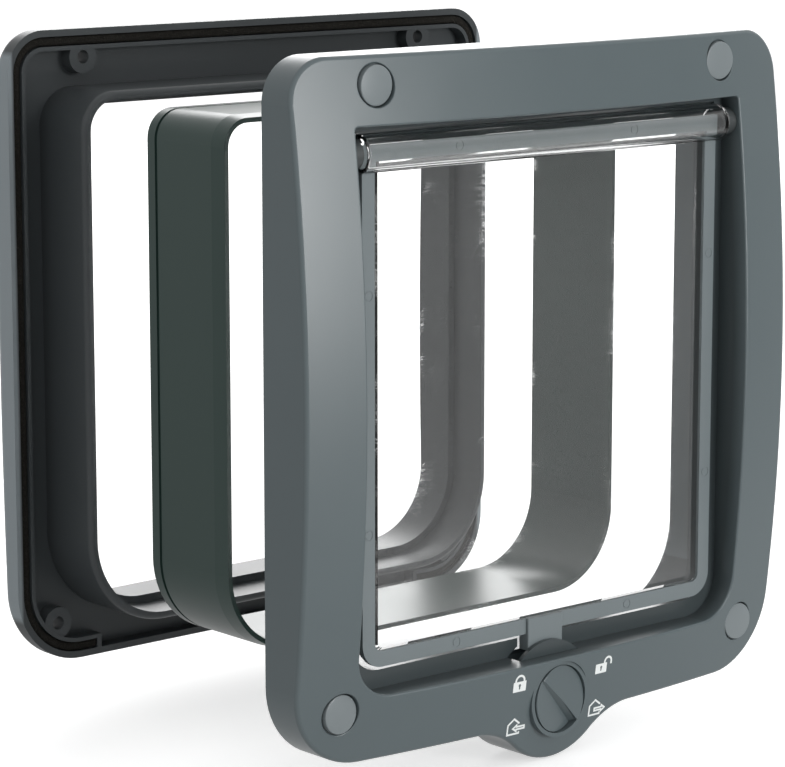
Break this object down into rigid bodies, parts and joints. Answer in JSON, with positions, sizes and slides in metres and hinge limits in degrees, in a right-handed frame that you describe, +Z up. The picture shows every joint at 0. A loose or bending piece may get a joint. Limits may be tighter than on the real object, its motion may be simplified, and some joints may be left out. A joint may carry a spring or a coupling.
{
  "type": "cat flap",
  "caption": "Locking cat flap laid out along its axis: indoor frame with clear swinging flap and lock dial, tunnel ring, outdoor frame with foam seal.",
  "frame": {"origin": "middle of the way through, on the indoor frame's door side", "axes": "+X right as seen from indoors, +Y from indoors to outdoors along the way through, +Z up"},
  "size_m": [0.24, 0.1908, 0.2654],
  "materials": {
    "frame_grey": "satin moulded",
    "cap_grey": "satin",
    "strip_grey": "satin moulded",
    "clear_pane": "clear polished plastic",
    "dark_plastic": "satin moulded",
    "steel": "zinc plated",
    "tunnel_green_grey": "satin moulded",
    "rear_dark_grey": "satin moulded",
    "foam_black": "closed-cell foam"
  },
  "bodies": {
    "indoor": {"front_frame": "frame_grey", "screw_cap_1": "cap_grey", "screw_cap_2": "cap_grey", "screw_cap_3": "cap_grey", "screw_cap_4": "cap_grey", "door_screw_1": "steel", "door_screw_2": "steel", "door_screw_3": "steel", "door_screw_4": "steel", "hinge_bearing_left": "dark_plastic", "hinge_bearing_right": "dark_plastic", "lock_cover": "dark_plastic", "cover_screw_1": "steel", "cover_screw_2": "steel"},
    "flap": {"flap_pane": "clear_pane", "flap_strip": "strip_grey", "flap_catch": "strip_grey"},
    "dial": {"lock_dial": "frame_grey", "lock_cam": "frame_grey", "cam_screw": "steel"},
    "liner": {"tunnel": "tunnel_green_grey"},
    "outdoor": {"rear_frame": "rear_dark_grey", "foam_seal": "foam_black"}
  },
  "joints": [
    {"name": "flap_hinge", "type": "hinge", "parent": "indoor", "child": "flap", "pos_m": [0, -0.014, 0.0846], "axis": [1, 0, 0], "range_deg": [0, 80]},
    {"name": "dial_turn", "type": "hinge", "parent": "indoor", "child": "dial", "pos_m": [0, -0.02, -0.1229], "axis": [0, 1, 0], "continuous": true},
    {"name": "tunnel_slide", "type": "slide", "parent": "indoor", "child": "liner", "axis": [0, -1, 0], "range_m": [0, 0.0493]},
    {"name": "outdoor_slide", "type": "slide", "parent": "liner", "child": "outdoor", "axis": [0, -1, 0], "range_m": [0, 0.0511]}
  ]
}
